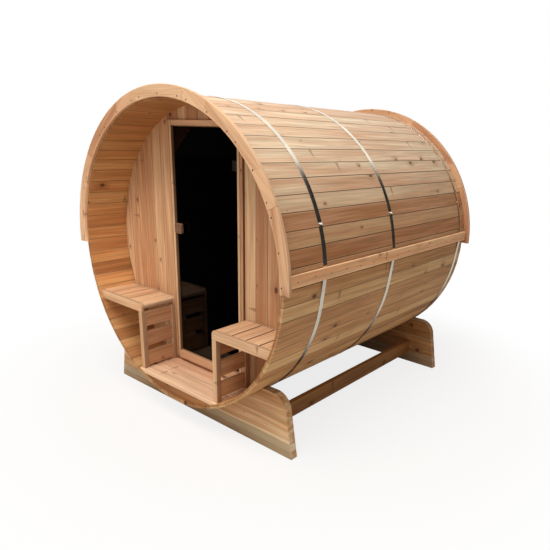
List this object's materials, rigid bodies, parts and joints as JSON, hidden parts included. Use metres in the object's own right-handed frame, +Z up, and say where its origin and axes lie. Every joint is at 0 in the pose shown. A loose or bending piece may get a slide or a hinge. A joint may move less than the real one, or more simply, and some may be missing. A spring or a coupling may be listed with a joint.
{
  "type": "barrel sauna",
  "caption": "Cedar stave barrel sauna lying on two cradles, with a roof jacket, steel bands, an open porch with slatted benches and a hinged tinted glass door.",
  "frame": {"origin": "on the ground, under the middle of the building's length and width", "axes": "+Z up; +Y along the barrel from the porch to the rear; +X to the right seen from the porch"},
  "size_m": [2.1936, 2.38, 2.2897],
  "materials": {
    "cedar_staves": "planed knotty cedar",
    "cedar_roof": "planed knotty cedar, sunlit",
    "cedar_trim": "planed cedar trim",
    "band_steel": "rolled stainless strap",
    "cedar_wall": "planed cedar boards",
    "cedar_frame": "planed cedar",
    "tinted_glass": "dark tinted toughened glass",
    "hinge_steel": "satin steel",
    "handle_wood": "turned and sanded wood",
    "cedar_floor": "planed cedar boards",
    "cedar_bench": "planed cedar slats",
    "cradle_timber": "laminated cedar",
    "rail_timber": "dark stained timber"
  },
  "bodies": {
    "sauna": {"staves_right_upper": "cedar_staves", "staves_left_upper": "cedar_staves", "staves_left_lower": "cedar_staves", "staves_right_lower": "cedar_staves", "roof_boards_right": "cedar_roof", "roof_boards_left": "cedar_roof", "front_arch": "cedar_trim", "rear_arch": "cedar_trim", "roof_edge_right": "cedar_trim", "roof_edge_left": "cedar_trim", "band_front": "band_steel", "band_middle": "band_steel", "band_rear": "band_steel", "front_wall_left": "cedar_wall", "front_wall_right": "cedar_wall", "front_wall_over_door": "cedar_wall", "front_wall_under_door": "cedar_wall", "rear_wall": "cedar_wall", "door_jamb_right": "cedar_frame", "door_jamb_left": "cedar_frame", "door_head": "cedar_frame", "door_sill": "cedar_frame", "hinge_brackets": "hinge_steel", "porch_floor": "cedar_floor", "cabin_floor": "cedar_floor", "porch_floor_front": "cedar_floor", "bench_seat_right": "cedar_bench", "bench_seat_left": "cedar_bench", "bench_panel_right": "cedar_bench", "bench_panel_left": "cedar_bench", "cradle_front": "cradle_timber", "cradle_rear": "cradle_timber", "rail_right": "rail_timber", "rail_left": "rail_timber"},
    "door": {"door_glass": "tinted_glass", "door_hinge_clamps": "hinge_steel", "door_handles": "handle_wood"}
  },
  "joints": [
    {"name": "door_swing", "type": "hinge", "parent": "sauna", "child": "door", "pos_m": [0.3235, -0.8455, 1.215], "axis": [0, 0, 1], "range_deg": [0, 100]}
  ]
}
